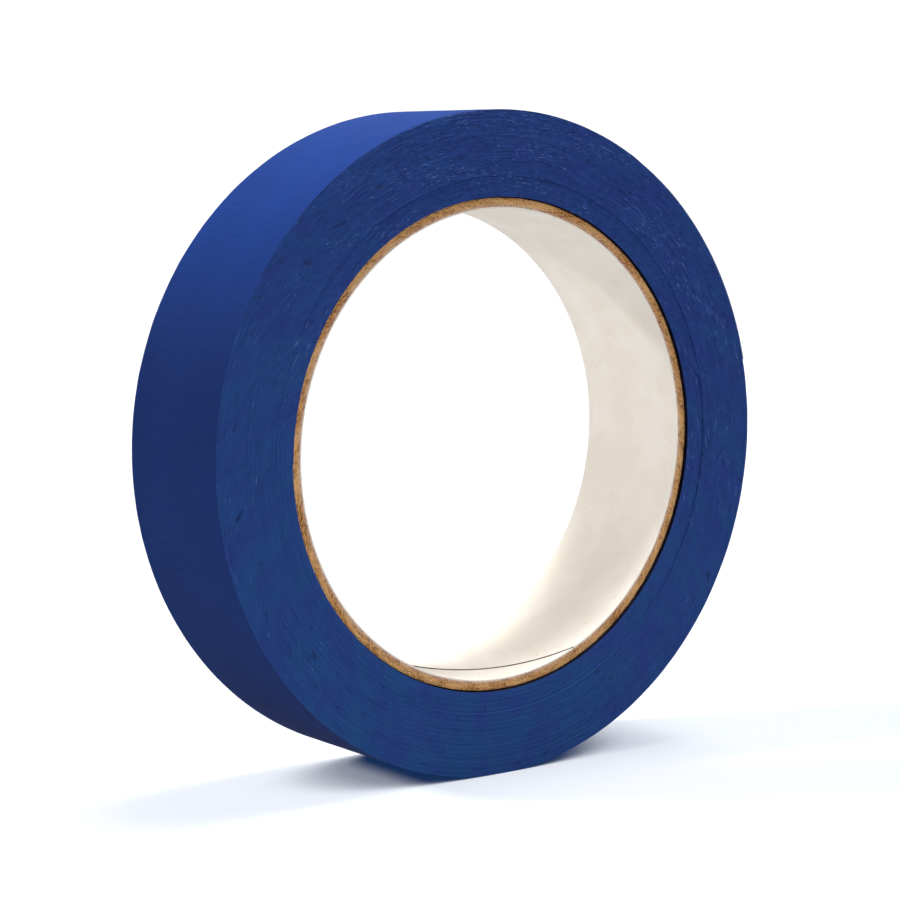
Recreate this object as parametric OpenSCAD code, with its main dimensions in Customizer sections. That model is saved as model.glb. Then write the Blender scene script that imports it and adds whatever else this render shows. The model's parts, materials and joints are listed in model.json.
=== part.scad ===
// Roll of crepe paper masking tape, standing on its edge like a wheel.
// The axis of the bore is Y, +Z is up, and the origin is the centre of the bore,
// halfway across the width of the tape. The front face looks towards -Y.

/* [Tape] */
// Width of the tape, across the roll
tape_w = 25.4; // [18:0.1:50]
// How much one turn of tape adds to the radius
turn_t = 0.14; // [0.13:0.01:0.18]
// Thickness of the adhesive coat on the inner side of the paper
adhesive_t = 0.035; // [0.035:0.005:0.05]
// How far the adhesive stays back from both edges of the paper
adhesive_inset = 0.1; // [0.05:0.01:0.3]
// Whole turns wound on the core
turns = 98; // [80:1:110]
// Turns that were wound before the tape shifted sideways
shifted_turns = 24; // [10:1:40]
// How far those turns stand towards the back
side_shift = 0.15; // [0:0.01:0.4]

/* [Core] */
// Diameter of the bore
bore_d = 76.2; // [70:0.1:80]
// Length of the core, along its axis
core_w = 23.4; // [16:0.1:25.4]
// How far the front end of the core lies inside the front face of the tape
core_inset = 0.85; // [0:0.05:1.5]
// Thickness of the white paper lining the bore
liner_t = 0.25; // [0.15:0.05:0.4]
// Thickness of each of the three chipboard plies
ply_t = 0.42; // [0.3:0.01:0.6]
// Thickness of the kraft paper round the outside of the core
wrap_t = 0.25; // [0.15:0.05:0.4]
// Slack between the core and the first turn of tape
core_slack = 0.08; // [0.04:0.01:0.2]

/* [Free end] */
// Angle of the fold where the free end leaves the roll, up from +X
fold_deg = 52; // [40:1:80]
// Length of each of the six stretches of the free end
stretch_len = 6.2; // [4:0.1:8]
// Room between one stretch and the next, where the paper bends
bend_gap = 0.1; // [0.06:0.01:0.2]
// How far the free end stands off the turn below it
end_lift = 0.03; // [0.02:0.01:0.1]

/* [Hidden] */
$fn = 180;

bore_r = bore_d / 2;
ply_r = bore_r + liner_t;
wrap_r = ply_r + 3 * ply_t;
core_r = wrap_r + wrap_t;
backing_t = turn_t - adhesive_t;

// The strip is wound in half turns about two centres on the X axis, half a turn's growth
// apart, so the arcs run smoothly into each other. Half turn 0 is the first one on the core.
// Even half turns are above the X axis and odd ones below it, and the strip runs clockwise
// as seen from the front, from the core outwards.
centre_shift = turn_t / 4;
first_r = core_r + core_slack + centre_shift;
last_half = 2 * turns;
middle_turns = floor((turns - shifted_turns) / 2);

// The free end carries on from the last half turn
end_r = first_r + last_half * turn_t / 2 + end_lift;
stretch_deg = stretch_len / end_r * 180 / PI;
gap_deg = bend_gap / end_r * 180 / PI;

paper_blue = "#28497F";
adhesive_tan = "#B7AE8C";

// A band of tape on the roll: an arc about the Y axis that starts at an angle up from +X
// and sweeps clockwise as seen from the front
module arc_band(centre_x, inner_r, thick, start, sweep, back = 0) {
    translate([centre_x, tape_w / 2 + back, 0])
        rotate([90, 0, 0])
            rotate([0, 0, start])
                rotate_extrude(angle = -sweep)
                    translate([inner_r, 0])
                        square([thick, tape_w]);
}

// One edge of a stack of turns as [radius, height] points, from the core outwards. The paper
// of each turn reaches h, and the adhesive that holds it on the turn below stops at glue_h.
function stack_edge(inner_r, count, h, glue_h, glued) = [
    for (j = [0 : count - 1])
        let (r = inner_r + j * turn_t)
            each concat(
                j > 0 || glued ? [[r - adhesive_t, glue_h], [r, glue_h]] : [],
                [[r, h], [r + backing_t, h]]
            )
];

function reversed(points) = [for (k = [len(points) - 1 : -1 : 0]) points[k]];

// The half turns first, first + 2 and so on, which lie on each other above the X axis if
// first is even and below it if it is odd. Where glued is true, the lowest has adhesive too.
module half_turns(first, count, sweep = 180, back = 0, glued = false) {
    above = first % 2 == 0;
    inner_r = first_r + first * turn_t / 2;
    front_edge = stack_edge(inner_r, count, tape_w, tape_w - adhesive_inset, glued);
    back_edge = stack_edge(inner_r, count, 0, adhesive_inset, glued);
    translate([above ? centre_shift : -centre_shift, tape_w / 2 + back, 0])
        rotate([90, 0, 0])
            rotate([0, 0, above ? 180 : 0])
                rotate_extrude(angle = -sweep)
                    polygon(concat(back_edge, reversed(front_edge)));
}

module wound_turns(first_turn, count, back = 0) {
    half_turns(2 * first_turn, count, back = back);
    half_turns(2 * first_turn + 1, count, back = back);
}

module tape_inner_turns() {
    color(paper_blue) wound_turns(0, shifted_turns, side_shift);
}

module tape_middle_turns() {
    color(paper_blue) wound_turns(shifted_turns, middle_turns);
}

// The last half turn ends at the fold of the free end
module tape_outer_turns() {
    first_turn = shifted_turns + middle_turns;
    color(paper_blue) {
        wound_turns(first_turn, turns - first_turn);
        half_turns(last_half, 1, 180 - fold_deg - gap_deg / 2, glued = true);
    }
}

// A tube of the core, from its own inner radius
module core_tube(inner_r, thick) {
    translate([0, core_w + core_inset - tape_w / 2, 0])
        rotate([90, 0, 0])
            rotate_extrude()
                translate([inner_r, 0])
                    square([thick, core_w]);
}

module core_liner() {
    color("#E4DACE") core_tube(bore_r, liner_t);
}

module core_ply(i) {
    color("#B98A50") core_tube(ply_r + i * ply_t, ply_t);
}

module core_wrap() {
    color("#9C7040") core_tube(wrap_r, wrap_t);
}

// Stretch i of the free end, counted from the fold towards the cut edge
module end_stretch(i, inner_r, thick) {
    start = fold_deg - (i - 1) * stretch_deg - gap_deg / 2;
    arc_band(centre_shift, inner_r, thick, start, stretch_deg - gap_deg);
}

module free_end(i) {
    color(paper_blue) end_stretch(i, end_r, backing_t);
}

module free_end_adhesive(i) {
    color(adhesive_tan) end_stretch(i, end_r - adhesive_t, adhesive_t);
}

core_liner();
core_ply(0);  // core_ply_inner
core_ply(1);  // core_ply_middle
core_ply(2);  // core_ply_outer
core_wrap();
tape_inner_turns();
tape_middle_turns();
tape_outer_turns();
free_end(1);  // free_end_1
free_end(2);  // free_end_2
free_end(3);  // free_end_3
free_end(4);  // free_end_4
free_end(5);  // free_end_5
free_end(6);  // free_end_6
free_end_adhesive(1);  // free_end_adhesive_1
free_end_adhesive(2);  // free_end_adhesive_2
free_end_adhesive(3);  // free_end_adhesive_3
free_end_adhesive(4);  // free_end_adhesive_4
free_end_adhesive(5);  // free_end_adhesive_5
free_end_adhesive(6);  // free_end_adhesive_6
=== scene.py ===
"""A roll of blue crepe paper masking tape, standing on its edge on a pale floor."""
import json
import math

import bpy
import numpy as np
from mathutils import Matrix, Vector


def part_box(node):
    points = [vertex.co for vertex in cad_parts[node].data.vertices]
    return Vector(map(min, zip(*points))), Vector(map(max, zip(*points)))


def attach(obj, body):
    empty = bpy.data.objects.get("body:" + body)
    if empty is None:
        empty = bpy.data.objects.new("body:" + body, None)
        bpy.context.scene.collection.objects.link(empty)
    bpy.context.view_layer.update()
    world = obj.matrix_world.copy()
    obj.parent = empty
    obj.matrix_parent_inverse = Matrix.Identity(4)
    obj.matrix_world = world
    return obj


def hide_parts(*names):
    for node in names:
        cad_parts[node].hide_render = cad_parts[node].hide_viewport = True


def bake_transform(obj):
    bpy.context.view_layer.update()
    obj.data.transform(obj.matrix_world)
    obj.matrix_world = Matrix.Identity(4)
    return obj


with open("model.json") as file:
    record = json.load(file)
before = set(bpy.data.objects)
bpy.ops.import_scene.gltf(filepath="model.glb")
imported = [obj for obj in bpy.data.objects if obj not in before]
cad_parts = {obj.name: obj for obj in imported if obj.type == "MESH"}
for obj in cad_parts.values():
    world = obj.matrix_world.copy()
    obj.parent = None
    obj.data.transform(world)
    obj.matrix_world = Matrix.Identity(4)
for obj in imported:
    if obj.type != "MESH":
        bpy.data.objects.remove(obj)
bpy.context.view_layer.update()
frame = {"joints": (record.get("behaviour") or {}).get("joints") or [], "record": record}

MM = 0.001

# ---------------------------------------------------------------- sizes from the frame

# How the strip is wound: two centres on the X axis, half a turn's growth apart
TURN = 0.14 * MM
PAPER = 0.105 * MM
TURNS = 98
SHIFTED_TURNS = 24
SIDE_SHIFT = 0.15 * MM
END_LIFT = 0.03 * MM
CENTRE_SHIFT = TURN / 4
CORE_SLACK = 0.08 * MM


def tube_radius(node):
    """Outer radius of one of the core's tubes."""
    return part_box(node)[1][2]


BORE_R = next(m for m in frame["record"]["mounts"] if m["name"] == "bore")["dims"]["r_mm"] * MM
CORE_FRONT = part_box("core_liner")[0][1]
CORE_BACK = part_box("core_liner")[1][1]
FIRST_R = tube_radius("core_wrap") + CORE_SLACK + CENTRE_SHIFT
TAPE_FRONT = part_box("tape_outer_turns")[0][1]
TAPE_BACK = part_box("tape_outer_turns")[1][1]
FLOOR_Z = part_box("tape_outer_turns")[0][2]
ROLL_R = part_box("tape_outer_turns")[1][2]

HINGES = sorted(frame["joints"], key=lambda j: j["child"])
END_R = FIRST_R + TURNS * TURN + END_LIFT


def hinge_angle(joint):
    """Where a hinge of the free end is, up from +X, round the upper winding centre."""
    x, _, z = joint["pos_m"]
    return math.atan2(z, x - CENTRE_SHIFT)


FOLDS = [hinge_angle(j) for j in HINGES]
STRETCH = FOLDS[0] - FOLDS[1]
BEND_GAP = 0.1 * MM / END_R

# ---------------------------------------------------------------- helpers for meshes


def new_mesh(name, points, faces, body="roll", sharp_deg=40):
    """A piece from points and faces, shaded smooth except at edges sharper than sharp_deg."""
    mesh = bpy.data.meshes.new(name)
    mesh.from_pydata([tuple(p) for p in points], [], [tuple(f) for f in faces])
    mesh.validate()
    mesh.polygons.foreach_set("use_smooth", [True] * len(mesh.polygons))
    mesh.set_sharp_from_angle(angle=math.radians(sharp_deg))
    mesh.update()
    piece = bpy.data.objects.new(name, mesh)
    bpy.context.scene.collection.objects.link(piece)
    if body:
        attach(piece, body)
    return piece


def knot_noise(x, seed, knots=4096):
    """Smooth noise along a line, from -1 to 1, with one knot per unit of x."""
    values = np.random.default_rng(seed).uniform(-1, 1, knots)
    low = np.floor(x).astype(int)
    t = x - low
    t = t * t * (3 - 2 * t)
    return values[low % knots] * (1 - t) + values[(low + 1) % knots] * t


def ring_noise(angle, count, seed):
    """Smooth noise round a circle, from -1 to 1, with count knots in a turn."""
    values = np.random.default_rng(seed).uniform(-1, 1, count)
    x = (np.asarray(angle) / (2 * math.pi)) % 1 * count
    low = np.floor(x).astype(int)
    t = x - low
    t = t * t * (3 - 2 * t)
    return values[low % count] * (1 - t) + values[(low + 1) % count] * t


# ---------------------------------------------------------------- the wound strip

COLUMNS = 320  # columns of points in one turn
ACROSS = 28  # stretches of the outermost turn across its width
DENTS = 110  # on each side of the roll
MEAN_RADIUS_MM = 47  # of the wound strip, to lay out its unevenness along it
BUSIEST = math.radians(75)  # where the side is roughest, up from +X
CROWN_LOW, CROWN_HIGH = 0.27 * TURN, 0.73 * TURN  # the flat of the strip's edge, in its thickness
EDGE_GROOVE = 0.018 * MM  # depth of the groove between two turns
LAP_GROOVE = 0.012 * MM  # depth of the groove where the turn below stands further in
EDGE_SLANT = 0.004 * MM  # how far the outer side of the edge lies behind its inner side
RIM_ROUND = 0.03 * MM  # how far the last turn's outer face stays back from its edge
FACE_SWELL = 0.02 * MM  # crown of the outermost face across its width
FACE_WAVE = 0.012 * MM  # unevenness of the outermost face


def strip_place(s, thickness=0.0):
    """X and Z of the strip's inner side, or thickness outside it, s turns from its start."""
    half = np.floor(2 * s + 1e-9)
    angle = math.pi - 2 * math.pi * s
    radius = FIRST_R + half * TURN / 2 + thickness
    centre = np.where(half % 2 == 0, CENTRE_SHIFT, -CENTRE_SHIFT)
    return centre + radius * np.cos(angle), radius * np.sin(angle)


def strip_points(s, thickness, y):
    """X, Y and Z of the strip at a given Y."""
    x, z = strip_place(s, thickness)
    return x, y, z


def dents(s, side):
    """Small dents in the side of the roll, each over a few turns of the strip."""
    random = np.random.default_rng(61 + side)
    angle = math.pi - 2 * math.pi * s
    radius = FIRST_R + s * TURN
    depth = np.zeros_like(s)
    innermost, outermost = FIRST_R + 1 * MM, ROLL_R - 0.3 * MM
    for _ in range(DENTS):
        towards = random.uniform(-math.pi, math.pi)
        at = math.sqrt(random.uniform(innermost ** 2, outermost ** 2))
        long, deep = random.uniform(0.25, 0.9) * MM, random.uniform(0.12, 0.4) * MM
        turned = (angle - towards + math.pi) % (2 * math.pi) - math.pi
        away = (turned * at / long) ** 2 + ((radius - at) / deep) ** 2
        depth = np.maximum(depth, random.uniform(0.04, 0.16) * MM * np.exp(-away))
    return depth


def strip_wander(s, side):
    """How far the strip's edge lies inside its nominal plane: winding wander and slitting.
    The numbers in it are millimetres."""
    arc = s * 2 * math.pi * MEAN_RADIUS_MM
    wander = 0.012 * np.sin(s * 0.41 + 1.0) + 0.010 * np.sin(s * 1.13 + 0.3)
    angle = math.pi - 2 * math.pi * s
    busy = 0.75 + 0.45 * np.cos(angle - BUSIEST)
    slit = 0.020 * knot_noise(arc / 11.0, 11 + side, 8192) * busy
    slit += 0.026 * knot_noise(arc / 3.4, 21 + side, 16384) * busy ** 2
    slit += 0.022 * knot_noise(arc / 1.1, 41 + side, 32768) * busy ** 2
    step = 0.009 * knot_noise(s, 31 + side)
    # the last turns are scuffed where the roll's rim is handled
    rim = np.clip((s - TURNS + 3.0) / 3.0, 0, 1.3) ** 2
    scuff = 0.11 * rim * (0.5 + 0.5 * knot_noise(arc / 1.7, 51 + side, 32768)) * busy
    return (0.05 + (wander if side == 0 else -wander) + slit + step + scuff) * MM


def side_of(s, side):
    """Y of the strip's edge crown on the front (0) or back (1) side."""
    shift = np.where(s < SHIFTED_TURNS, SIDE_SHIFT, 0.0)
    # the last turn before the shift lies deeper and leaves a fine groove
    angle = math.pi - 2 * math.pi * s
    broken = 0.5 + 0.5 * knot_noise(s * 9, 91 + side)
    broken *= np.clip(0.6 + 0.6 * np.cos(angle - BUSIEST), 0.1, 1)
    groove = np.exp(-(((s - SHIFTED_TURNS + 0.8) / 0.6) ** 2)) * 0.05 * MM * broken
    lip = np.exp(-(((s - SHIFTED_TURNS - 1.2) / 1.0) ** 2)) * 0.03 * MM * broken
    inward = strip_wander(s, side) + dents(s, side) + groove - lip
    return (TAPE_FRONT + shift + inward) if side == 0 else (TAPE_BACK + shift - inward)


def wound_band(name, first, last, outer_thickness, across, nodes):
    """A closed length of wound strip from turn first to turn last, both counted from the core.
    Its outer face is in as many stretches across its width as across says."""
    steps = int(round((last - first) * COLUMNS))
    s = first + np.arange(steps + 1) / COLUMNS
    lap = COLUMNS
    points, index = [], {}

    def add(key, x, y, z):
        start = sum(len(p) for p in points)
        points.append(np.stack([x, np.broadcast_to(y, x.shape), z], 1))
        index[key] = start + np.arange(len(x))

    for side in (0, 1):
        inward = 1 if side == 0 else -1
        crown = side_of(s, side)
        before = side_of(np.maximum(s - 1, 0), side)
        groove_y = crown + inward * EDGE_GROOVE
        deeper = (before - crown) * inward > 0
        groove_y = np.where(deeper, before + inward * LAP_GROOVE, groove_y)
        add(("in", side), *strip_points(s, 0.0, groove_y))
        add(("c1", side), *strip_points(s, CROWN_LOW, crown))
        add(("c2", side), *strip_points(s, CROWN_HIGH, crown + inward * EDGE_SLANT))
        last_lap = s[steps - lap + 1:]
        rim = side_of(last_lap, side) + inward * RIM_ROUND
        add(("out", side), *strip_points(last_lap, outer_thickness, rim))

    def top(side, k):
        """The point on top of the strip at column k, shared with the next turn if there is one."""
        if k + lap <= steps:
            return index["in", side][k + lap]
        return index["out", side][k - (steps - lap + 1)]

    faces = []
    for side in (0, 1):
        low, c1, c2 = (index[key, side] for key in ("in", "c1", "c2"))
        for k in range(steps):
            quads = [
                (low[k], low[k + 1], c1[k + 1], c1[k]),
                (c1[k], c1[k + 1], c2[k + 1], c2[k]),
                (c2[k], c2[k + 1], top(side, k + 1), top(side, k)),
            ]
            faces += [q if side else q[::-1] for q in quads]
        for k in (0, steps):
            cap = (low[k], c1[k], c2[k], top(side, k))
            flip = (k == 0) == (side == 0)
            faces.append(cap if flip else cap[::-1])

    # the wall that faces the core, and the start of the strip
    wall_from = len(faces)
    front, back = index["in", 0], index["in", 1]
    for k in range(lap):
        faces.append((front[k], front[k + 1], back[k + 1], back[k]))
    faces.append((front[0], back[0], back[lap], front[lap]))

    # the outer face of the last turn, and the end of the strip
    columns = range(steps - lap, steps + 1)
    ends = np.array([[top(0, k), top(1, k)] for k in columns])
    flat = np.concatenate(points)
    rows = [ends[:, 0]]
    total = len(flat)
    for j in range(1, across):
        t = 0.5 - 0.5 * math.cos(math.pi * j / across)
        a, b = flat[ends[:, 0]], flat[ends[:, 1]]
        between = a + (b - a) * t
        around = math.pi - 2 * math.pi * s[steps - lap:]
        swell = FACE_WAVE * ring_noise(around + 3 * t, 40, 71)
        swell += FACE_SWELL * math.sin(math.pi * t)
        scale = 1 + swell / np.hypot(between[:, 0], between[:, 2])
        between[:, 0] *= scale
        between[:, 2] *= scale
        points.append(between)
        rows.append(total + np.arange(len(between)))
        total += len(between)
    rows.append(ends[:, 1])
    tread_from = len(faces)
    for j in range(across):
        for k in range(lap):
            faces.append((rows[j][k], rows[j + 1][k], rows[j + 1][k + 1], rows[j][k + 1]))
    tread_to = len(faces)
    for j in range(across):
        faces.append((rows[j][0], rows[j + 1][0], rows[j + 1][lap], rows[j][lap])[::-1])

    # the faces above run clockwise as seen from outside, all but the caps, which stay inwards
    outwards = [face[::-1] for face in faces]
    piece = new_mesh(name, np.concatenate(points), outwards)
    piece.data.materials.append(edge_paper)
    piece.data.materials.append(face_paper)
    piece.data.materials.append(recess_shade_paint)
    which = np.zeros(len(faces), int)
    which[tread_from:tread_to] = 1
    # the wall that faces the core is painted near-black: painted shade for the recess beside the
    # core
    which[wall_from:wall_from + lap] = 2
    piece.data.polygons.foreach_set("material_index", which)
    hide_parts(*nodes)
    return piece


# ---------------------------------------------------------------- materials


class Shader:
    """A node tree with short calls, in which every value is a socket or a number."""

    def __init__(self, name):
        self.material = bpy.data.materials.new(name)
        self.material.use_nodes = True
        self.tree = self.material.node_tree
        self.principled = self.tree.nodes["Principled BSDF"]

    def set(self, name, value):
        self.put(self.principled.inputs[name], value)

    def put(self, socket, value):
        if isinstance(value, bpy.types.NodeSocket):
            self.tree.links.new(value, socket)
        else:
            socket.default_value = value

    def math(self, operation, a, b=0.0, c=0.0):
        node = self.tree.nodes.new("ShaderNodeMath")
        node.operation = operation
        for socket, value in zip(node.inputs, (a, b, c)):
            self.put(socket, value)
        return node.outputs[0]

    def vector(self, x, y, z):
        node = self.tree.nodes.new("ShaderNodeCombineXYZ")
        for socket, value in zip(node.inputs, (x, y, z)):
            self.put(socket, value)
        return node.outputs[0]

    def noise(self, vector, detail=2.0, rough=0.5, scale=1.0):
        node = self.tree.nodes.new("ShaderNodeTexNoise")
        self.put(node.inputs["Vector"], vector)
        node.inputs["Scale"].default_value = scale
        node.inputs["Detail"].default_value = detail
        node.inputs["Roughness"].default_value = rough
        return node.outputs["Fac"]

    def cells(self, vector, scale=1.0):
        node = self.tree.nodes.new("ShaderNodeTexVoronoi")
        self.put(node.inputs["Vector"], vector)
        node.inputs["Scale"].default_value = scale
        return node.outputs["Distance"]

    def range(self, value, low, high, to_low=0.0, to_high=1.0):
        node = self.tree.nodes.new("ShaderNodeMapRange")
        node.interpolation_type = "SMOOTHSTEP"
        self.put(node.inputs["Value"], value)
        for name, number in zip(
            ("From Min", "From Max", "To Min", "To Max"), (low, high, to_low, to_high)
        ):
            self.put(node.inputs[name], number)
        return node.outputs[0]

    def mix(self, factor, a, b):
        node = self.tree.nodes.new("ShaderNodeMix")
        node.data_type = "RGBA"
        self.put(node.inputs["Factor"], factor)
        self.put(node.inputs["A"], a)
        self.put(node.inputs["B"], b)
        return node.outputs["Result"]

    def bump(self, height, distance, strength=1.0):
        node = self.tree.nodes.new("ShaderNodeBump")
        self.put(node.inputs["Height"], height)
        node.inputs["Distance"].default_value = distance
        node.inputs["Strength"].default_value = strength
        self.put(self.principled.inputs["Normal"], node.outputs["Normal"])

    def round_the_axis(self):
        """Unit direction across the bore's axis (two sockets), distance from it, and Y."""
        place = self.tree.nodes.new("ShaderNodeTexCoord").outputs["Object"]
        split = self.tree.nodes.new("ShaderNodeSeparateXYZ")
        self.put(split.inputs[0], place)
        x, y, z = split.outputs
        squares = self.math("ADD", self.math("MULTIPLY", x, x), self.math("MULTIPLY", z, z))
        radius = self.math("SQRT", squares)
        return self.math("DIVIDE", x, radius), self.math("DIVIDE", z, radius), radius, y

    def around(self, arc, deep, across):
        """Texture coordinates for features arc long round the roll, deep along its radius and
        across along its axis, in metres."""
        c, s, radius, y = self.round_the_axis()
        turn = ROLL_R / arc
        return self.vector(
            self.math("MULTIPLY", c, turn),
            self.math("MULTIPLY_ADD", s, turn, self.math("MULTIPLY", radius, 1 / deep)),
            self.math("MULTIPLY_ADD", y, 1 / across, self.math("MULTIPLY", radius, 0.5 / deep)),
        )


def rgb(r, g, b):
    return (r, g, b, 1.0)


def edge_paper_material():
    """The slit edges of the wound turns: fine rings, pale broken fibres, and soft dark spots."""
    m = Shader("crepe_paper_edge")
    streak = m.noise(m.around(3 * MM, 0.22 * MM, 40 * MM), 3.0, 0.65)
    fleck = m.noise(m.around(1.3 * MM, 0.20 * MM, 8 * MM), 2.0, 0.55)
    busy = m.noise(m.around(16 * MM, 6 * MM, 90 * MM), 2.0, 0.5)
    patch = m.noise(m.around(6 * MM, 6 * MM, 30 * MM), 3.0, 0.55)
    mottle = m.noise(m.around(1.2 * MM, 0.8 * MM, 9 * MM), 3.0, 0.6)
    spot = m.noise(m.around(1.7 * MM, 1.2 * MM, 9 * MM), 3.0, 0.6)
    # the slitting knife left one side of the roll rougher than the other: 1 there, else to -1
    c, s, _, _ = m.round_the_axis()
    rough = m.math("MULTIPLY_ADD", s, math.sin(BUSIEST), m.math("MULTIPLY", c, math.cos(BUSIEST)))
    least = m.math("MULTIPLY_ADD", rough, -0.15, 0.25)
    most = m.math("MULTIPLY_ADD", rough, 0.15, 0.80)
    colour = m.mix(m.range(streak, 0.30, 0.70, least, most), EDGE_DARK, EDGE_MID)
    teal = m.math("MULTIPLY_ADD", rough, -0.25, 0.6)
    colour = m.mix(m.range(patch, 0.3, 0.65, 0.0, teal), colour, EDGE_TEAL)
    speckled = m.math("MULTIPLY_ADD", rough, 0.2, 0.35)
    colour = m.mix(m.range(mottle, 0.45, 0.72, 0.0, speckled), colour, EDGE_DEEP)
    sparse = m.math("MULTIPLY_ADD", rough, -0.045, m.range(busy, 0.35, 0.65, 0.735, 0.625))
    excess = m.math("SUBTRACT", fleck, sparse)
    colour = m.mix(m.range(excess, 0.0, 0.10, 0.0, 0.75), colour, EDGE_PALE)
    colour = m.mix(m.range(spot, 0.63, 0.74, 0.0, 0.65), colour, EDGE_SPOT)
    m.set("Base Color", colour)
    m.set("Roughness", m.range(streak, 0.2, 0.8, 0.85, 0.70))
    m.set("Specular IOR Level", 0.2)
    height = m.math("ADD", m.math("MULTIPLY", streak, 0.5), m.math("MULTIPLY", fleck, 0.5))
    height = m.math("MULTIPLY", height, m.math("MULTIPLY_ADD", rough, 0.35, 0.65))
    m.bump(height, 0.06 * MM, 0.9)
    return m.material


def face_paper_material():
    """The outside of the tape: satin crepe paper, with fine creases across its width."""
    m = Shader("crepe_paper_face")
    crease = m.noise(m.around(0.45 * MM, 50 * MM, 3.5 * MM), 2.0, 0.5)
    grain = m.noise(m.around(0.18 * MM, 50 * MM, 0.3 * MM), 2.0, 0.6)
    cloud = m.noise(m.around(14 * MM, 50 * MM, 12 * MM), 3.0, 0.5)
    colour = m.mix(m.range(cloud, 0.3, 0.7), FACE_DEEP, FACE_BLUE)
    colour = m.mix(m.range(crease, 0.35, 0.8, 0.0, 0.10), colour, FACE_LIGHT)
    m.set("Base Color", colour)
    m.set("Roughness", m.range(crease, 0.2, 0.8, 0.52, 0.44))
    m.set("Specular IOR Level", 0.08)
    height = m.math("ADD", m.math("MULTIPLY", crease, 0.7), m.math("MULTIPLY", grain, 0.3))
    m.bump(height, 0.03 * MM, 0.25)
    return m.material


def first_turn_material():
    """The inner side of the first turn, which the core does not reach: painted near-black, a
    painted shade for the shadow in the recess between tape and core.
    """
    m = Shader("recess_painted_shade")
    cloud = m.noise(m.around(3 * MM, 40 * MM, 1 * MM), 3.0, 0.6)
    m.set("Base Color", m.mix(m.range(cloud, 0.3, 0.7), RECESS_SHADE_DARK, RECESS_SHADE_PALE))
    m.set("Roughness", m.range(cloud, 0.2, 0.8, 0.8, 0.65))
    m.set("Specular IOR Level", 0.1)
    m.bump(cloud, 0.03 * MM, 0.5)
    return m.material


def seam_material():
    """The cut edge of the lining, coloured a dark brown."""
    m = Shader("liner_cut_edge")
    fibre = m.noise(m.around(0.7 * MM, 0.1 * MM, 0.7 * MM), 3.0, 0.6)
    m.set("Base Color", m.mix(m.range(fibre, 0.35, 0.65), SEAM_DARK, SEAM_BROWN))
    m.set("Roughness", 0.9)
    m.set("Specular IOR Level", 0.1)
    m.bump(fibre, 0.03 * MM, 0.8)
    return m.material


def liner_material():
    """White paper that lines the bore, with faint fibres, mottling and a few specks."""
    m = Shader("liner_paper")
    mottle = m.noise(m.around(10 * MM, 60 * MM, 7 * MM), 4.0, 0.6)
    fibre = m.noise(m.around(1.6 * MM, 60 * MM, 0.35 * MM), 3.0, 0.6)
    speck = m.noise(m.around(0.8 * MM, 60 * MM, 0.5 * MM), 0.0, 0.5)
    colour = m.mix(m.range(mottle, 0.3, 0.7), LINER_WARM, LINER_WHITE)
    colour = m.mix(m.range(fibre, 0.35, 0.8, 0.0, 0.25), colour, LINER_PALE)
    colour = m.mix(m.range(speck, 0.84, 0.88, 0.0, 0.6), colour, LINER_SPECK)
    m.set("Base Color", colour)
    m.set("Roughness", m.range(fibre, 0.2, 0.8, 0.75, 0.6))
    m.set("Specular IOR Level", 0.3)
    m.bump(m.math("ADD", fibre, m.math("MULTIPLY", mottle, 2.0)), 0.04 * MM, 0.5)
    return m.material


def board_material(name, deep, brown, golden):
    """Cut chipboard: brown fibre grains with dark pits and torn, pale fibres."""
    m = Shader(name)
    grain = m.noise(m.around(0.55 * MM, 0.30 * MM, 0.4 * MM), 3.0, 0.7)
    fine = m.noise(m.around(0.22 * MM, 0.16 * MM, 0.25 * MM), 2.0, 0.6)
    pit = m.cells(m.around(0.75 * MM, 0.40 * MM, 0.6 * MM))
    stain = m.noise(m.around(7 * MM, 2 * MM, 8 * MM), 2.0, 0.5)
    colour = m.mix(m.range(grain, 0.38, 0.56), deep, brown)
    colour = m.mix(m.range(stain, 0.35, 0.7, 0.0, 0.5), colour, golden)
    colour = m.mix(m.range(fine, 0.54, 0.70, 0.0, 0.9), colour, golden)
    colour = m.mix(m.range(pit, 0.06, 0.20, 0.85, 0.0), colour, deep)
    m.set("Base Color", colour)
    m.set("Roughness", 0.88)
    m.set("Specular IOR Level", 0.15)
    height = m.math("ADD", grain, m.math("MULTIPLY", fine, 0.5))
    m.bump(m.math("ADD", height, m.range(pit, 0.0, 0.35, 0.0, 0.6)), 0.16 * MM, 1.0)
    return m.material


def adhesive_material():
    """Dried rubber adhesive on the inner side of the tape."""
    m = Shader("tape_adhesive")
    cloud = m.noise(m.around(5 * MM, 40 * MM, 4 * MM), 3.0, 0.5)
    ripple = m.noise(m.around(0.6 * MM, 40 * MM, 3 * MM), 2.0, 0.5)
    m.set("Base Color", m.mix(m.range(cloud, 0.3, 0.7), ADHESIVE_DARK, ADHESIVE_PALE))
    m.set("Roughness", m.range(ripple, 0.2, 0.8, 0.42, 0.28))
    m.set("Specular IOR Level", 0.55)
    m.bump(ripple, 0.02 * MM, 0.4)
    return m.material


EDGE_DARK = rgb(0.012, 0.035, 0.180)
EDGE_MID = rgb(0.018, 0.052, 0.255)
EDGE_PALE = rgb(0.110, 0.200, 0.480)
EDGE_DEEP = rgb(0.010, 0.024, 0.120)
EDGE_TEAL = rgb(0.011, 0.066, 0.225)
EDGE_SPOT = rgb(0.006, 0.012, 0.060)
FACE_DEEP = rgb(0.0055, 0.0270, 0.150)
FACE_BLUE = rgb(0.0060, 0.0300, 0.164)
FACE_LIGHT = rgb(0.016, 0.054, 0.230)
LINER_WARM = rgb(0.88, 0.815, 0.715)
LINER_WHITE = rgb(0.93, 0.88, 0.80)
LINER_PALE = rgb(0.95, 0.92, 0.865)
LINER_SPECK = rgb(0.34, 0.27, 0.20)
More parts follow.
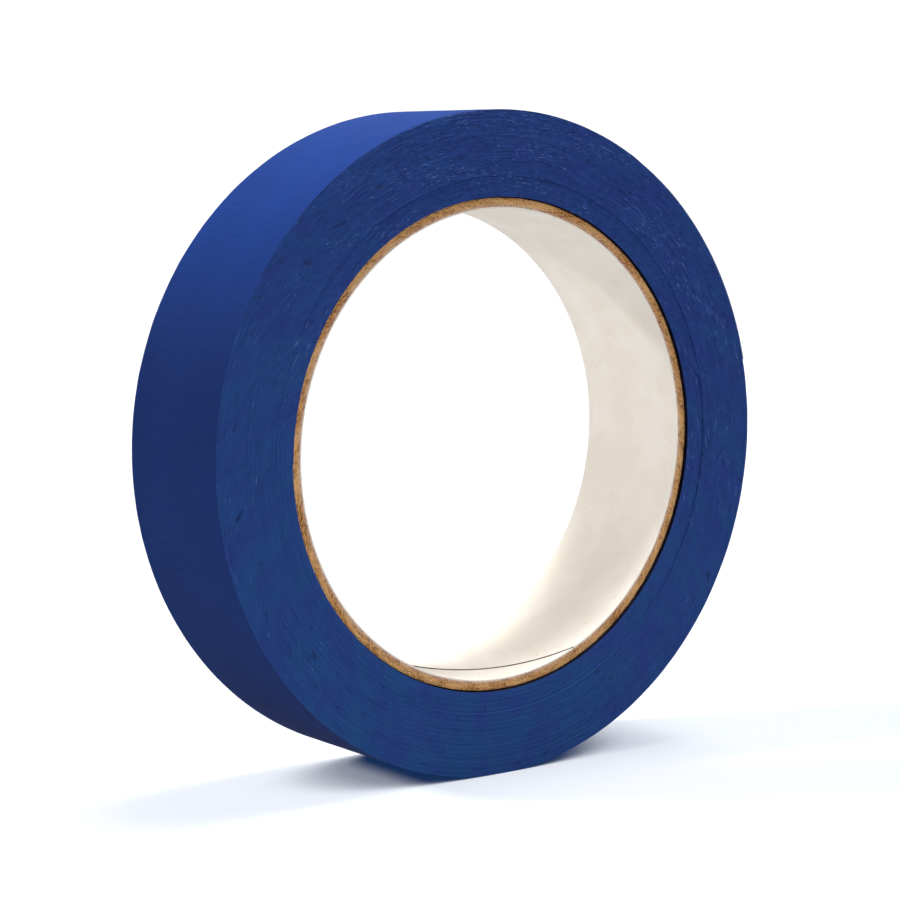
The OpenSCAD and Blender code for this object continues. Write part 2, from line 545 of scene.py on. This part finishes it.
# near-black painted shade for the wall of the first turn that faces the core
RECESS_SHADE_DARK = rgb(0.0025, 0.0030, 0.010)
RECESS_SHADE_PALE = rgb(0.0080, 0.0100, 0.030)
SEAM_DARK = rgb(0.030, 0.016, 0.010)
SEAM_BROWN = rgb(0.110, 0.065, 0.040)
ADHESIVE_DARK = rgb(0.20, 0.25, 0.33)
ADHESIVE_PALE = rgb(0.30, 0.35, 0.42)

edge_paper = edge_paper_material()
face_paper = face_paper_material()
recess_shade_paint = first_turn_material()
liner_paper = liner_material()
liner_edge = seam_material()
inner_board = board_material(
    "chipboard_pink", rgb(0.22, 0.09, 0.05), rgb(0.66, 0.38, 0.24), rgb(0.90, 0.64, 0.44)
)
golden_board = board_material(
    "chipboard_golden", rgb(0.12, 0.040, 0.012), rgb(0.68, 0.33, 0.110), rgb(0.96, 0.61, 0.28)
)
kraft_board = board_material(
    "kraft_paper", rgb(0.11, 0.035, 0.012), rgb(0.56, 0.27, 0.095), rgb(0.88, 0.55, 0.25)
)
adhesive = adhesive_material()

# ---------------------------------------------------------------- the wound tape

STRIP_END = TURNS + (math.pi - FOLDS[0] - BEND_GAP / 2) / (2 * math.pi)
STRIP_END = round(STRIP_END * COLUMNS) / COLUMNS
MIDDLE_TURN = (TURNS + SHIFTED_TURNS) // 2

wound_band("wound_tape_inner", 0, SHIFTED_TURNS, TURN, 1, ["tape_inner_turns"])
wound_band("wound_tape_middle", SHIFTED_TURNS, MIDDLE_TURN, TURN, 1, ["tape_middle_turns"])
wound_band("wound_tape_outer", MIDDLE_TURN, STRIP_END, PAPER, ACROSS, ["tape_outer_turns"])

# ---------------------------------------------------------------- the free end


END_INSET = 0.06 * MM  # how far the free end's edges stay back from the strip's widest
JAG = 0.35  # mm, half the height of the teeth that a dispenser's blade leaves on the cut edge
JAG_BACK = 0.25  # mm, how far the teeth stay back from the cut edge
JAG_LENGTH = 0.9 * MM


def end_strip(name, high, low, inner_r, thick, material, cut=False):
    """A curved length of the free end between two angles, closed, with rounded long edges."""
    along, wide = 14, 22  # columns and rows
    columns = np.linspace(high, low, along + 1)
    across = 0.5 - 0.5 * np.cos(np.linspace(0, math.pi, wide + 1))
    y = TAPE_FRONT + END_INSET + (TAPE_BACK - TAPE_FRONT - 2 * END_INSET) * across
    points, faces = [], []
    for layer in (0, 1):
        for k, angle in enumerate(columns):
            near_cut = cut * max(0.0, (k - along + 1))
            teeth = JAG * knot_noise(y / JAG_LENGTH + 40, 5) + JAG_BACK
            jag = near_cut * teeth * MM / inner_r
            a = angle + jag
            rise = min(1.0, (FOLDS[0] - angle) / (STRETCH / 2)) * END_LIFT - END_LIFT
            r = inner_r + rise + layer * thick * np.where((across > 0) & (across < 1), 1, 0.8)
            points.append(np.stack([CENTRE_SHIFT + r * np.cos(a), y, r * np.sin(a)], 1))
    n = wide + 1
    top = (along + 1) * n
    for k in range(along):
        for j in range(wide):
            a = k * n + j
            faces.append((a, a + 1, a + n + 1, a + n))
            faces.append((top + a + n, top + a + n + 1, top + a + 1, top + a))
        for j, flip in ((0, False), (wide, True)):
            a = k * n + j
            side = (a, a + n, top + a + n, top + a)
            faces.append(side[::-1] if flip else side)
    for k, flip in ((0, True), (along, False)):
        for j in range(wide):
            a = k * n + j
            end = (a, a + 1, top + a + 1, top + a)
            faces.append(end[::-1] if flip else end)
    piece = new_mesh(name, np.concatenate(points), faces, body=None)
    piece.data.materials.append(material)
    return piece


bodies = ["roll"] + [j["child"] for j in HINGES]
bends = [FOLDS[0]] + [fold - STRETCH / 2 for fold in FOLDS]
layers = (
    ("paper", END_R, PAPER, face_paper, "blue_crepe", "free_end_{}"),
    ("adhesive", END_R - (TURN - PAPER), TURN - PAPER, adhesive, "adhesive",
     "free_end_adhesive_{}"),
)
for layer, inner_r, thick, material, slot, node in layers:
    for k in range(1, len(bodies)):
        piece = end_strip(
            f"free_end_{layer}_{k}", bends[k - 1], bends[k], inner_r, thick, material
        )
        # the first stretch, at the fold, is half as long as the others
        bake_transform(piece)
        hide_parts(node.format(k))
    cut_edge = bends[-1] - STRETCH / 2 + BEND_GAP / 2
    piece = end_strip(
        f"free_end_{layer}_tip", bends[-1], cut_edge, inner_r, thick, material, cut=True
    )
    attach(piece, bodies[-1])

# ---------------------------------------------------------------- the core

CORE_COLUMNS = 720
# The lining's seam is a helix: its angle at the front end, and how it turns along the bore
SEAM_FRONT = math.radians(-66.0)
SEAM_TURN = math.radians(-2.9) / MM
SEAM_GAP = 0.10 * MM
SEAM_LIFT = 0.17 * MM  # of the edge of the lining that has come up
LINING_WAVE = 0.015 * MM  # unevenness of the lining's surface


def core_tube(name, inner_r, outer_r, node, material, seed, rough, torn):
    """One paper layer of the core, with fuzzy cut ends: the cut wanders by rough, and is torn
    back from the layer's outside by torn."""
    angle = np.linspace(0, 2 * math.pi, CORE_COLUMNS, endpoint=False)
    rings = []

    def ring(radius, y, fuzz_y, fuzz_r, number):
        fine = ring_noise(angle, 700, seed + number)
        broad = ring_noise(angle, 90, seed + 50 + number)
        r = radius + fuzz_r * (0.6 * fine + 0.4 * broad)
        rings.append((r, y + fuzz_y * (0.65 * fine + 0.35 * broad)))

    thick = outer_r - inner_r
    depth = 0.05 * MM  # of the rounding at the layer's edges
    plain = 0.8 * MM  # from the cut end to where the wall is smooth
    for side, y in ((1, CORE_FRONT), (-1, CORE_BACK)):
        inner = (inner_r, y + side * depth, rough, rough * 0.4)
        face_a = (inner_r + thick * 0.18, y, rough, 0.0)
        face_b = (inner_r + thick * 0.5, y - side * 0.01 * MM, rough, 0.0)
        face_c = (inner_r + thick * 0.82, y, rough, 0.0)
        outer = (outer_r - torn, y + side * depth, rough, rough * 0.4 + torn)
        order = [inner, face_a, face_b, face_c, outer]
        for number, values in enumerate(order if side == 1 else order[::-1]):
            ring(*values, number + (0 if side == 1 else 10))
        if side == 1:
            ring(outer_r, CORE_FRONT + plain, 0.0, 0.0, 20)
            ring(outer_r, CORE_BACK - plain, 0.0, 0.0, 21)
    ring(inner_r, CORE_BACK - plain, 0.0, 0.0, 22)
    ring(inner_r, CORE_FRONT + plain, 0.0, 0.0, 23)
    points = np.concatenate(
        [np.stack([r * np.cos(angle), y * np.ones_like(angle), r * np.sin(angle)], 1)
         for r, y in rings]
    )
    faces = []
    for i in range(len(rings)):
        a, b = i * CORE_COLUMNS, (i + 1) % len(rings) * CORE_COLUMNS
        for k in range(CORE_COLUMNS):
            n = (k + 1) % CORE_COLUMNS
            faces.append((a + k, b + k, b + n, a + n))
    piece = new_mesh(name, points, faces)
    piece.data.materials.append(material)
    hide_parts(node)
    return piece


def core_lining():
    """The white paper lining: one strip wound as a helix, whose two edges almost meet. One of
    them stands up a little, so that its cut edge shows as a thin brown line."""
    columns, rows = 480, 36
    thick = tube_radius("core_liner") - BORE_R
    gap = SEAM_GAP / BORE_R
    t = np.linspace(0, 1, columns + 1)
    points = []
    for layer in (0, 1):
        for j in range(rows + 1):
            y = CORE_FRONT + (CORE_BACK - CORE_FRONT) * j / rows
            seam = SEAM_FRONT + SEAM_TURN * (y - CORE_FRONT)
            angle = seam + gap / 2 + (2 * math.pi - gap) * t
            fuzz = 0.03 * MM * ring_noise(angle, 700, 81) if j in (0, rows) else 0.0
            wave = LINING_WAVE * ring_noise(angle + 40 * y, 30, 82)
            lift = SEAM_LIFT * np.exp(-t * columns / 3)
            r = BORE_R + (thick if layer else LINING_WAVE + wave - lift)
            r = r * np.ones_like(angle)
            points.append(np.stack([r * np.cos(angle), y + fuzz + 0 * angle, r * np.sin(angle)], 1))
    n = columns + 1
    top = (rows + 1) * n
    faces, walls = [], []
    for j in range(rows):
        for k in range(columns):
            a = j * n + k
            faces.append((a, a + n, a + n + 1, a + 1))
            faces.append((top + a + 1, top + a + n + 1, top + a + n, top + a))
        for k, flip in ((0, False), (columns, True)):
            a = j * n + k
            side = (a, top + a, top + a + n, a + n)
            walls.append(len(faces))
            faces.append(side[::-1] if flip else side)
    for j, flip in ((0, False), (rows, True)):
        for k in range(columns):
            a = j * n + k
            end = (a, a + 1, top + a + 1, top + a)
            faces.append(end[::-1] if flip else end)
    # the faces above run clockwise as seen from outside
    outwards = [face[::-1] for face in faces]
    piece = new_mesh("bore_lining", np.concatenate(points), outwards)
    piece.data.materials.append(liner_paper)
    piece.data.materials.append(liner_edge)
    which = np.zeros(len(faces), int)
    which[walls] = 1
    piece.data.polygons.foreach_set("material_index", which)
    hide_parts("core_liner")
    return piece


core_lining()
core_layers = (
    ("board_ply_inner", "core_ply_inner", inner_board, "chipboard", 0.05 * MM, 0.0),
    ("board_ply_middle", "core_ply_middle", golden_board, "chipboard", 0.07 * MM, 0.0),
    ("board_ply_outer", "core_ply_outer", golden_board, "chipboard", 0.08 * MM, 0.0),
    ("kraft_wrap", "core_wrap", kraft_board, "kraft_paper", 0.07 * MM, 0.09 * MM),
)
inner_r = tube_radius("core_liner")
for number, (name, node, material, slot, rough, torn) in enumerate(core_layers):
    outer_r = tube_radius(node)
    seed = 100 * (number + 1)
    core_tube(name, inner_r, outer_r, node, material, seed, rough, torn)
    inner_r = outer_r

# ---------------------------------------------------------------- floor, light and camera

KEY = (-0.775, 0.414, 0.477)  # towards the weak key light, behind the roll on its left
FLOOR_HALF = 6.0  # half the floor's width, in metres
FLOOR_PAINTED_SHADOW = rgb(0.005, 0.025, 0.09)  # the painted glow of the floor right by the roll: a painted shadow, dark blue
FLOOR_OPEN = rgb(0.60, 0.64, 0.72)  # and in the open
FLOOR_BOUNCE = 0.42  # how much of that painted glow lights the roll, in place of light bounced off the floor
SHADE_REACH = 40 * MM  # how far out from the roll the painted shadow on the floor reaches
BACKDROP = 1.1  # strength of the white backdrop
WHITE = (1.0, 1.0, 1.0)


def floor():
    """A white floor under the roll that glows: painted light keeps it white, and a painted shadow
    darkens it close to the roll.
    """
    mesh = bpy.data.meshes.new("floor")
    corners = [(x, y, FLOOR_Z) for x, y in ((-1, -1), (1, -1), (1, 1), (-1, 1))]
    corners = [(FLOOR_HALF * x, FLOOR_HALF * y, z) for x, y, z in corners]
    mesh.from_pydata(corners, [], [(0, 1, 2, 3)])
    plane = bpy.data.objects.new("floor", mesh)
    bpy.context.scene.collection.objects.link(plane)
    m = Shader("floor")
    m.set("Base Color", rgb(0.12, 0.12, 0.12))
    m.set("Roughness", 0.8)
    m.set("Specular IOR Level", 0.1)
    # a painted glow keeps the floor white, with a painted soft shadow, dark blue, close to the roll
    # where ambient occlusion falls
    shadow_occlusion = m.tree.nodes.new("ShaderNodeAmbientOcclusion")
    shadow_occlusion.inputs["Distance"].default_value = SHADE_REACH
    painted_glow_mask = m.range(shadow_occlusion.outputs["AO"], 0.12, 0.46)
    m.set("Emission Color", m.mix(painted_glow_mask, FLOOR_PAINTED_SHADOW, FLOOR_OPEN))
    seen = m.tree.nodes.new("ShaderNodeLightPath").outputs["Is Camera Ray"]
    m.set("Emission Strength", m.range(seen, 0.0, 1.0, FLOOR_BOUNCE, 1.0))
    mesh.materials.append(m.material)
    plane.visible_glossy = False
    return plane


def area_light(name, direction, distance, size, power):
    """A square soft light that looks at the roll from a direction."""
    data = bpy.data.lights.new(name, "AREA")
    data.energy, data.size = power, size
    light = bpy.data.objects.new(name, data)
    bpy.context.scene.collection.objects.link(light)
    light.location = Vector(direction).normalized() * distance
    light.rotation_euler = (-light.location).to_track_quat("-Z", "Y").to_euler()


def floor_light(name, direction, strength, plane):
    """A soft light that only the floor receives: it draws the roll's shadow on the floor."""
    data = bpy.data.lights.new(name, "SUN")
    data.energy, data.angle = strength, math.radians(10)
    light = bpy.data.objects.new(name, data)
    bpy.context.scene.collection.objects.link(light)
    light.rotation_euler = Vector(direction).to_track_quat("Z", "Y").to_euler()
    receivers = bpy.data.collections.new(name + "_receivers")
    receivers.objects.link(plane)
    light.light_linking.receiver_collection = receivers


def studio_world(lobes):
    """Light from all round a white studio. Each lobe is a soft glow about a direction: the
    direction, how narrow the glow is, its strength and its colour. The camera sees white."""
    world = bpy.data.worlds.new("studio")
    world.use_nodes = True
    tree = world.node_tree
    nodes, links = tree.nodes, tree.links

    def calculate(operation, a, b):
        node = nodes.new("ShaderNodeMath")
        node.operation = operation
        for socket, value in zip(node.inputs, (a, b)):
            if isinstance(value, bpy.types.NodeSocket):
                links.new(value, socket)
            else:
                socket.default_value = value
        return node.outputs[0]

    place = nodes.new("ShaderNodeTexCoord").outputs["Generated"]
    total = None
    for direction, narrow, strength, colour in lobes:
        dot = nodes.new("ShaderNodeVectorMath")
        dot.operation = "DOT_PRODUCT"
        links.new(place, dot.inputs[0])
        dot.inputs[1].default_value = Vector(direction).normalized()
        facing = calculate("MAXIMUM", dot.outputs["Value"], 0.0)
        tint = nodes.new("ShaderNodeVectorMath")
        tint.operation = "SCALE"
        tint.inputs[0].default_value = colour
        glow = calculate("MULTIPLY", calculate("POWER", facing, narrow), strength)
        links.new(glow, tint.inputs["Scale"])
        if total is None:
            total = tint.outputs[0]
            continue
        both = nodes.new("ShaderNodeVectorMath")
        links.new(total, both.inputs[0])
        links.new(tint.outputs[0], both.inputs[1])
        total = both.outputs[0]
    background = nodes["Background"]
    links.new(total, background.inputs["Color"])
    white = nodes.new("ShaderNodeBackground")
    white.inputs["Color"].default_value = rgb(1, 1, 1)
    white.inputs["Strength"].default_value = BACKDROP
    path = nodes.new("ShaderNodeLightPath")
    pick = nodes.new("ShaderNodeMixShader")
    links.new(path.outputs["Is Camera Ray"], pick.inputs[0])
    links.new(background.outputs[0], pick.inputs[1])
    links.new(white.outputs[0], pick.inputs[2])
    links.new(pick.outputs[0], nodes["World Output"].inputs[0])
    bpy.context.scene.world = world


def camera():
    """The camera stands to the front left of the roll, a little above its axis."""
    azimuth, elevation = math.radians(-36.68), math.radians(6.28)
    distance = 7.747 * ROLL_R
    back = Vector((
        math.sin(azimuth) * math.cos(elevation),
        -math.cos(azimuth) * math.cos(elevation),
        math.sin(elevation),
    ))
    data = bpy.data.cameras.new("camera")
    data.sensor_width = 36.0
    data.lens = 101.1
    data.shift_x, data.shift_y = -0.0064, -0.0119
    data.clip_start, data.clip_end = 0.01, 50.0
    cam = bpy.data.objects.new("camera", data)
    bpy.context.scene.collection.objects.link(cam)
    cam.location = back * distance
    cam.rotation_euler = back.to_track_quat("Z", "Y").to_euler()
    bpy.context.scene.camera = cam


studio_floor = floor()
studio_world((
    ((0.30, 0.03, 1.0), 70, 93.0, WHITE),  # a softbox overhead
    ((0.0, 0.0, 1.0), 2, 0.35, WHITE),
    ((-1.0, 0.0, 0.0), 3, 0.25, (1.3, 0.95, 0.9)),
    ((0.0, -1.0, 0.0), 3, 1.22, WHITE),
    ((0.0, 1.0, 0.0), 3, 0.3, WHITE),
))
area_light("key_left", KEY, 0.9, 0.06, 2.2)
floor_light("key_on_floor", KEY, 11.0, studio_floor)
camera()

view = bpy.context.scene.view_settings
view.view_transform = "Standard"
view.look = "None"
